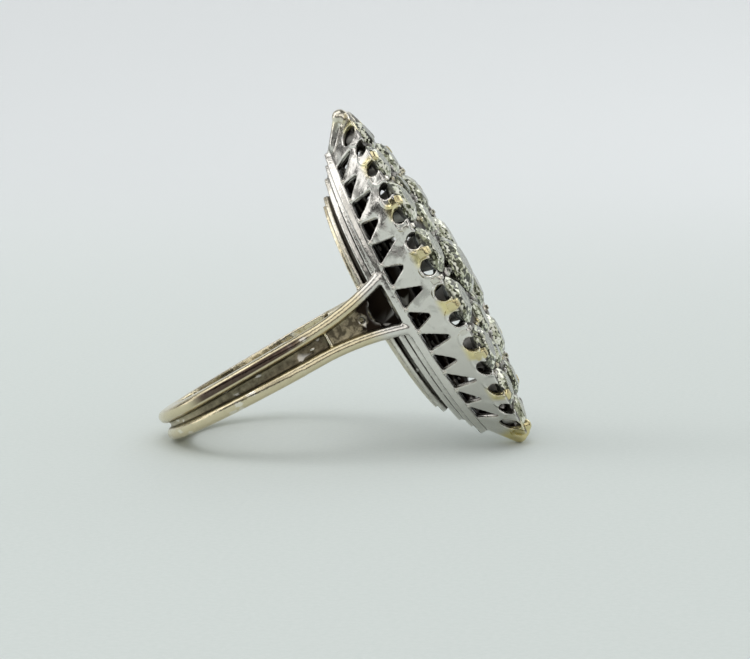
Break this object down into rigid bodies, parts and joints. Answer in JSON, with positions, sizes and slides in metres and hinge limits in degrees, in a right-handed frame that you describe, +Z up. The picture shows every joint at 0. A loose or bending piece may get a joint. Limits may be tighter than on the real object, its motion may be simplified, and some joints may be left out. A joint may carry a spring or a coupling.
{
  "type": "navette ring",
  "caption": "Navette cluster ring with cut stones in a pierced wall, on a split-shoulder shank, lying tilted as if just put down.",
  "frame": {"origin": "centre of the bounding box's footprint, on the surface that the ring rests on", "axes": "+Z up from the surface; the ring's mirror plane is Y = 0; +X points from the palm side of the shank to the lower point of the head"},
  "size_m": [0.0282, 0.0204, 0.0251],
  "materials": {
    "white_gold": "polished and slightly worn",
    "diamond": "cut and polished"
  },
  "bodies": {
    "root": {"mounting": "white_gold", "outer_stone_1": "diamond", "outer_stone_2": "diamond", "outer_stone_3": "diamond", "outer_stone_4": "diamond", "outer_stone_5": "diamond", "outer_stone_6": "diamond", "outer_stone_7": "diamond", "outer_stone_8": "diamond", "outer_stone_9": "diamond", "outer_stone_10": "diamond", "outer_stone_11": "diamond", "outer_stone_12": "diamond", "outer_stone_13": "diamond", "outer_stone_14": "diamond", "centre_stone_1": "diamond", "centre_stone_2": "diamond", "centre_stone_3": "diamond", "centre_stone_4": "diamond", "centre_stone_5": "diamond", "small_stones": "diamond"}
  },
  "joints": []
}
